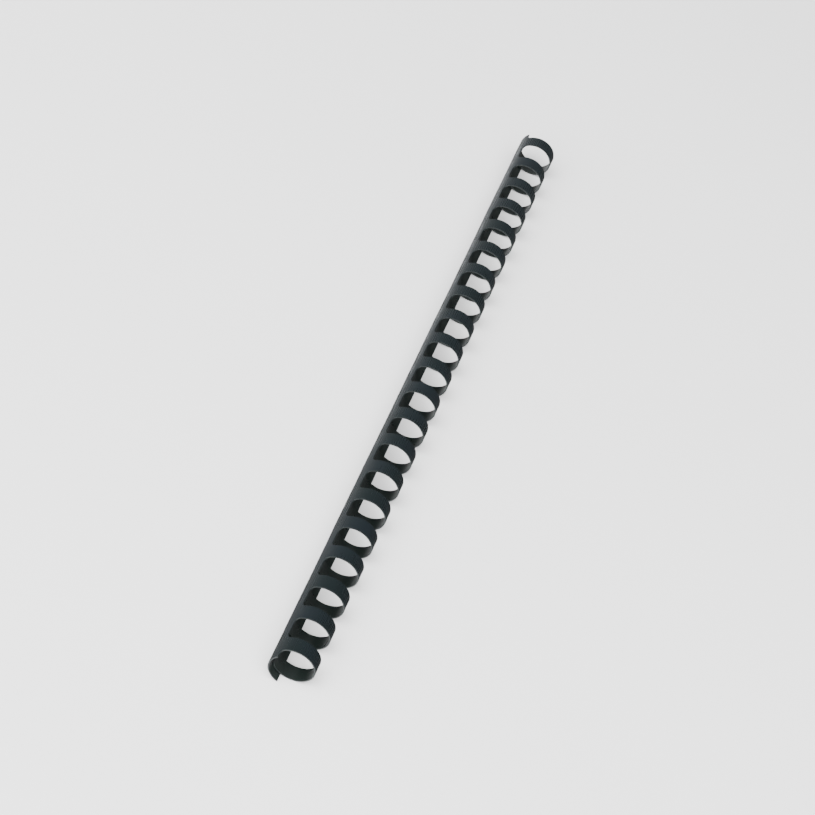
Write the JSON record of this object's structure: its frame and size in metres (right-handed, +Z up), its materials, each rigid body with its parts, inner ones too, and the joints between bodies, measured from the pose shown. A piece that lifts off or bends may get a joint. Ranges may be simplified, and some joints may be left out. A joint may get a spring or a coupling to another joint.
{
  "type": "plastic binding comb",
  "caption": "Black plastic comb spine with a row of curled rings that spring open for punched sheets and close behind the spine's free edge.",
  "frame": {"origin": "centre of the resting footprint: the comb lies on the spine's free edge and on the undersides of its rings", "axes": "+Y along the comb, +X towards the rings' fronts, -X towards the spine's back, +Z up"},
  "size_m": [0.0153, 0.297, 0.0148],
  "materials": {
    "black_pvc": "satin black PVC sheet, softly glossy, with paler die-cut edges"
  },
  "bodies": {
    "spine": {"spine": "black_pvc"},
    "ring_01_upper": {"ring_01_upper": "black_pvc"},
    "ring_01_lower": {"ring_01_lower": "black_pvc"},
    "ring_02_upper": {"ring_02_upper": "black_pvc"},
    "ring_02_lower": {"ring_02_lower": "black_pvc"},
    "ring_03_upper": {"ring_03_upper": "black_pvc"},
    "ring_03_lower": {"ring_03_lower": "black_pvc"},
    "ring_04_upper": {"ring_04_upper": "black_pvc"},
    "ring_04_lower": {"ring_04_lower": "black_pvc"},
    "ring_05_upper": {"ring_05_upper": "black_pvc"},
    "ring_05_lower": {"ring_05_lower": "black_pvc"},
    "ring_06_upper": {"ring_06_upper": "black_pvc"},
    "ring_06_lower": {"ring_06_lower": "black_pvc"},
    "ring_07_upper": {"ring_07_upper": "black_pvc"},
    "ring_07_lower": {"ring_07_lower": "black_pvc"},
    "ring_08_upper": {"ring_08_upper": "black_pvc"},
    "ring_08_lower": {"ring_08_lower": "black_pvc"},
    "ring_09_upper": {"ring_09_upper": "black_pvc"},
    "ring_09_lower": {"ring_09_lower": "black_pvc"},
    "ring_10_upper": {"ring_10_upper": "black_pvc"},
    "ring_10_lower": {"ring_10_lower": "black_pvc"},
    "ring_11_upper": {"ring_11_upper": "black_pvc"},
    "ring_11_lower": {"ring_11_lower": "black_pvc"},
    "ring_12_upper": {"ring_12_upper": "black_pvc"},
    "ring_12_lower": {"ring_12_lower": "black_pvc"},
    "ring_13_upper": {"ring_13_upper": "black_pvc"},
    "ring_13_lower": {"ring_13_lower": "black_pvc"},
    "ring_14_upper": {"ring_14_upper": "black_pvc"},
    "ring_14_lower": {"ring_14_lower": "black_pvc"},
    "ring_15_upper": {"ring_15_upper": "black_pvc"},
    "ring_15_lower": {"ring_15_lower": "black_pvc"},
    "ring_16_upper": {"ring_16_upper": "black_pvc"},
    "ring_16_lower": {"ring_16_lower": "black_pvc"},
    "ring_17_upper": {"ring_17_upper": "black_pvc"},
    "ring_17_lower": {"ring_17_lower": "black_pvc"},
    "ring_18_upper": {"ring_18_upper": "black_pvc"},
    "ring_18_lower": {"ring_18_lower": "black_pvc"},
    "ring_19_upper": {"ring_19_upper": "black_pvc"},
    "ring_19_lower": {"ring_19_lower": "black_pvc"},
    "ring_20_upper": {"ring_20_upper": "black_pvc"},
    "ring_20_lower": {"ring_20_lower": "black_pvc"},
    "ring_21_upper": {"ring_21_upper": "black_pvc"},
    "ring_21_lower": {"ring_21_lower": "black_pvc"}
  },
  "joints": [
    {"name": "ring_01_root", "type": "hinge", "parent": "spine", "child": "ring_01_upper", "pos_m": [-0.00214, -0.14288, 0.01452], "axis": [0, -1, 0], "range_deg": [0, 50], "stiffness_Nm_per_rad": 0.0005},
    {"name": "ring_01_middle", "type": "hinge", "parent": "ring_01_upper", "child": "ring_01_lower", "pos_m": [0.00673, -0.14288, 0.01096], "axis": [0, -1, 0], "range_deg": [0, 40]},
    {"name": "ring_02_root", "type": "hinge", "parent": "spine", "child": "ring_02_upper", "pos_m": [-0.00214, -0.12859, 0.01452], "axis": [0, -1, 0], "range_deg": [0, 50], "stiffness_Nm_per_rad": 0.0005},
    {"name": "ring_02_middle", "type": "hinge", "parent": "ring_02_upper", "child": "ring_02_lower", "pos_m": [0.00673, -0.12859, 0.01096], "axis": [0, -1, 0], "range_deg": [0, 40]},
    {"name": "ring_03_root", "type": "hinge", "parent": "spine", "child": "ring_03_upper", "pos_m": [-0.00214, -0.1143, 0.01452], "axis": [0, -1, 0], "range_deg": [0, 50], "stiffness_Nm_per_rad": 0.0005},
    {"name": "ring_03_middle", "type": "hinge", "parent": "ring_03_upper", "child": "ring_03_lower", "pos_m": [0.00673, -0.1143, 0.01096], "axis": [0, -1, 0], "range_deg": [0, 40]},
    {"name": "ring_04_root", "type": "hinge", "parent": "spine", "child": "ring_04_upper", "pos_m": [-0.00214, -0.10001, 0.01452], "axis": [0, -1, 0], "range_deg": [0, 50], "stiffness_Nm_per_rad": 0.0005},
    {"name": "ring_04_middle", "type": "hinge", "parent": "ring_04_upper", "child": "ring_04_lower", "pos_m": [0.00673, -0.10001, 0.01096], "axis": [0, -1, 0], "range_deg": [0, 40]},
    {"name": "ring_05_root", "type": "hinge", "parent": "spine", "child": "ring_05_upper", "pos_m": [-0.00214, -0.08572, 0.01452], "axis": [0, -1, 0], "range_deg": [0, 50], "stiffness_Nm_per_rad": 0.0005},
    {"name": "ring_05_middle", "type": "hinge", "parent": "ring_05_upper", "child": "ring_05_lower", "pos_m": [0.00673, -0.08572, 0.01096], "axis": [0, -1, 0], "range_deg": [0, 40]},
    {"name": "ring_06_root", "type": "hinge", "parent": "spine", "child": "ring_06_upper", "pos_m": [-0.00214, -0.07144, 0.01452], "axis": [0, -1, 0], "range_deg": [0, 50], "stiffness_Nm_per_rad": 0.0005},
    {"name": "ring_06_middle", "type": "hinge", "parent": "ring_06_upper", "child": "ring_06_lower", "pos_m": [0.00673, -0.07144, 0.01096], "axis": [0, -1, 0], "range_deg": [0, 40]},
    {"name": "ring_07_root", "type": "hinge", "parent": "spine", "child": "ring_07_upper", "pos_m": [-0.00214, -0.05715, 0.01452], "axis": [0, -1, 0], "range_deg": [0, 50], "stiffness_Nm_per_rad": 0.0005},
    {"name": "ring_07_middle", "type": "hinge", "parent": "ring_07_upper", "child": "ring_07_lower", "pos_m": [0.00673, -0.05715, 0.01096], "axis": [0, -1, 0], "range_deg": [0, 40]},
    {"name": "ring_08_root", "type": "hinge", "parent": "spine", "child": "ring_08_upper", "pos_m": [-0.00214, -0.04286, 0.01452], "axis": [0, -1, 0], "range_deg": [0, 50], "stiffness_Nm_per_rad": 0.0005},
    {"name": "ring_08_middle", "type": "hinge", "parent": "ring_08_upper", "child": "ring_08_lower", "pos_m": [0.00673, -0.04286, 0.01096], "axis": [0, -1, 0], "range_deg": [0, 40]},
    {"name": "ring_09_root", "type": "hinge", "parent": "spine", "child": "ring_09_upper", "pos_m": [-0.00214, -0.02857, 0.01452], "axis": [0, -1, 0], "range_deg": [0, 50], "stiffness_Nm_per_rad": 0.0005},
    {"name": "ring_09_middle", "type": "hinge", "parent": "ring_09_upper", "child": "ring_09_lower", "pos_m": [0.00673, -0.02857, 0.01096], "axis": [0, -1, 0], "range_deg": [0, 40]},
    {"name": "ring_10_root", "type": "hinge", "parent": "spine", "child": "ring_10_upper", "pos_m": [-0.00214, -0.01429, 0.01452], "axis": [0, -1, 0], "range_deg": [0, 50], "stiffness_Nm_per_rad": 0.0005},
    {"name": "ring_10_middle", "type": "hinge", "parent": "ring_10_upper", "child": "ring_10_lower", "pos_m": [0.00673, -0.01429, 0.01096], "axis": [0, -1, 0], "range_deg": [0, 40]},
    {"name": "ring_11_root", "type": "hinge", "parent": "spine", "child": "ring_11_upper", "pos_m": [-0.00214, 0, 0.01452], "axis": [0, -1, 0], "range_deg": [0, 50], "stiffness_Nm_per_rad": 0.0005},
    {"name": "ring_11_middle", "type": "hinge", "parent": "ring_11_upper", "child": "ring_11_lower", "pos_m": [0.00673, 0, 0.01096], "axis": [0, -1, 0], "range_deg": [0, 40]},
    {"name": "ring_12_root", "type": "hinge", "parent": "spine", "child": "ring_12_upper", "pos_m": [-0.00214, 0.01429, 0.01452], "axis": [0, -1, 0], "range_deg": [0, 50], "stiffness_Nm_per_rad": 0.0005},
    {"name": "ring_12_middle", "type": "hinge", "parent": "ring_12_upper", "child": "ring_12_lower", "pos_m": [0.00673, 0.01429, 0.01096], "axis": [0, -1, 0], "range_deg": [0, 40]},
    {"name": "ring_13_root", "type": "hinge", "parent": "spine", "child": "ring_13_upper", "pos_m": [-0.00214, 0.02857, 0.01452], "axis": [0, -1, 0], "range_deg": [0, 50], "stiffness_Nm_per_rad": 0.0005},
    {"name": "ring_13_middle", "type": "hinge", "parent": "ring_13_upper", "child": "ring_13_lower", "pos_m": [0.00673, 0.02857, 0.01096], "axis": [0, -1, 0], "range_deg": [0, 40]},
    {"name": "ring_14_root", "type": "hinge", "parent": "spine", "child": "ring_14_upper", "pos_m": [-0.00214, 0.04286, 0.01452], "axis": [0, -1, 0], "range_deg": [0, 50], "stiffness_Nm_per_rad": 0.0005},
    {"name": "ring_14_middle", "type": "hinge", "parent": "ring_14_upper", "child": "ring_14_lower", "pos_m": [0.00673, 0.04286, 0.01096], "axis": [0, -1, 0], "range_deg": [0, 40]},
    {"name": "ring_15_root", "type": "hinge", "parent": "spine", "child": "ring_15_upper", "pos_m": [-0.00214, 0.05715, 0.01452], "axis": [0, -1, 0], "range_deg": [0, 50], "stiffness_Nm_per_rad": 0.0005},
    {"name": "ring_15_middle", "type": "hinge", "parent": "ring_15_upper", "child": "ring_15_lower", "pos_m": [0.00673, 0.05715, 0.01096], "axis": [0, -1, 0], "range_deg": [0, 40]},
    {"name": "ring_16_root", "type": "hinge", "parent": "spine", "child": "ring_16_upper", "pos_m": [-0.00214, 0.07144, 0.01452], "axis": [0, -1, 0], "range_deg": [0, 50], "stiffness_Nm_per_rad": 0.0005},
    {"name": "ring_16_middle", "type": "hinge", "parent": "ring_16_upper", "child": "ring_16_lower", "pos_m": [0.00673, 0.07144, 0.01096], "axis": [0, -1, 0], "range_deg": [0, 40]},
    {"name": "ring_17_root", "type": "hinge", "parent": "spine", "child": "ring_17_upper", "pos_m": [-0.00214, 0.08572, 0.01452], "axis": [0, -1, 0], "range_deg": [0, 50], "stiffness_Nm_per_rad": 0.0005},
    {"name": "ring_17_middle", "type": "hinge", "parent": "ring_17_upper", "child": "ring_17_lower", "pos_m": [0.00673, 0.08572, 0.01096], "axis": [0, -1, 0], "range_deg": [0, 40]},
    {"name": "ring_18_root", "type": "hinge", "parent": "spine", "child": "ring_18_upper", "pos_m": [-0.00214, 0.10001, 0.01452], "axis": [0, -1, 0], "range_deg": [0, 50], "stiffness_Nm_per_rad": 0.0005},
    {"name": "ring_18_middle", "type": "hinge", "parent": "ring_18_upper", "child": "ring_18_lower", "pos_m": [0.00673, 0.10001, 0.01096], "axis": [0, -1, 0], "range_deg": [0, 40]},
    {"name": "ring_19_root", "type": "hinge", "parent": "spine", "child": "ring_19_upper", "pos_m": [-0.00214, 0.1143, 0.01452], "axis": [0, -1, 0], "range_deg": [0, 50], "stiffness_Nm_per_rad": 0.0005},
    {"name": "ring_19_middle", "type": "hinge", "parent": "ring_19_upper", "child": "ring_19_lower", "pos_m": [0.00673, 0.1143, 0.01096], "axis": [0, -1, 0], "range_deg": [0, 40]},
    {"name": "ring_20_root", "type": "hinge", "parent": "spine", "child": "ring_20_upper", "pos_m": [-0.00214, 0.12859, 0.01452], "axis": [0, -1, 0], "range_deg": [0, 50], "stiffness_Nm_per_rad": 0.0005},
    {"name": "ring_20_middle", "type": "hinge", "parent": "ring_20_upper", "child": "ring_20_lower", "pos_m": [0.00673, 0.12859, 0.01096], "axis": [0, -1, 0], "range_deg": [0, 40]},
    {"name": "ring_21_root", "type": "hinge", "parent": "spine", "child": "ring_21_upper", "pos_m": [-0.00214, 0.14288, 0.01452], "axis": [0, -1, 0], "range_deg": [0, 50], "stiffness_Nm_per_rad": 0.0005},
    {"name": "ring_21_middle", "type": "hinge", "parent": "ring_21_upper", "child": "ring_21_lower", "pos_m": [0.00673, 0.14288, 0.01096], "axis": [0, -1, 0], "range_deg": [0, 40]}
  ],
  "couplings": [
    {"joint": "ring_01_middle", "follows": "ring_01_root", "ratio": 0.8},
    {"joint": "ring_02_middle", "follows": "ring_02_root", "ratio": 0.8},
    {"joint": "ring_03_middle", "follows": "ring_03_root", "ratio": 0.8},
    {"joint": "ring_04_middle", "follows": "ring_04_root", "ratio": 0.8},
    {"joint": "ring_05_middle", "follows": "ring_05_root", "ratio": 0.8},
    {"joint": "ring_06_middle", "follows": "ring_06_root", "ratio": 0.8},
    {"joint": "ring_07_middle", "follows": "ring_07_root", "ratio": 0.8},
    {"joint": "ring_08_middle", "follows": "ring_08_root", "ratio": 0.8},
    {"joint": "ring_09_middle", "follows": "ring_09_root", "ratio": 0.8},
    {"joint": "ring_10_middle", "follows": "ring_10_root", "ratio": 0.8},
    {"joint": "ring_11_middle", "follows": "ring_11_root", "ratio": 0.8},
    {"joint": "ring_12_middle", "follows": "ring_12_root", "ratio": 0.8},
    {"joint": "ring_13_middle", "follows": "ring_13_root", "ratio": 0.8},
    {"joint": "ring_14_middle", "follows": "ring_14_root", "ratio": 0.8},
    {"joint": "ring_15_middle", "follows": "ring_15_root", "ratio": 0.8},
    {"joint": "ring_16_middle", "follows": "ring_16_root", "ratio": 0.8},
    {"joint": "ring_17_middle", "follows": "ring_17_root", "ratio": 0.8},
    {"joint": "ring_18_middle", "follows": "ring_18_root", "ratio": 0.8},
    {"joint": "ring_19_middle", "follows": "ring_19_root", "ratio": 0.8},
    {"joint": "ring_20_middle", "follows": "ring_20_root", "ratio": 0.8},
    {"joint": "ring_21_middle", "follows": "ring_21_root", "ratio": 0.8}
  ]
}
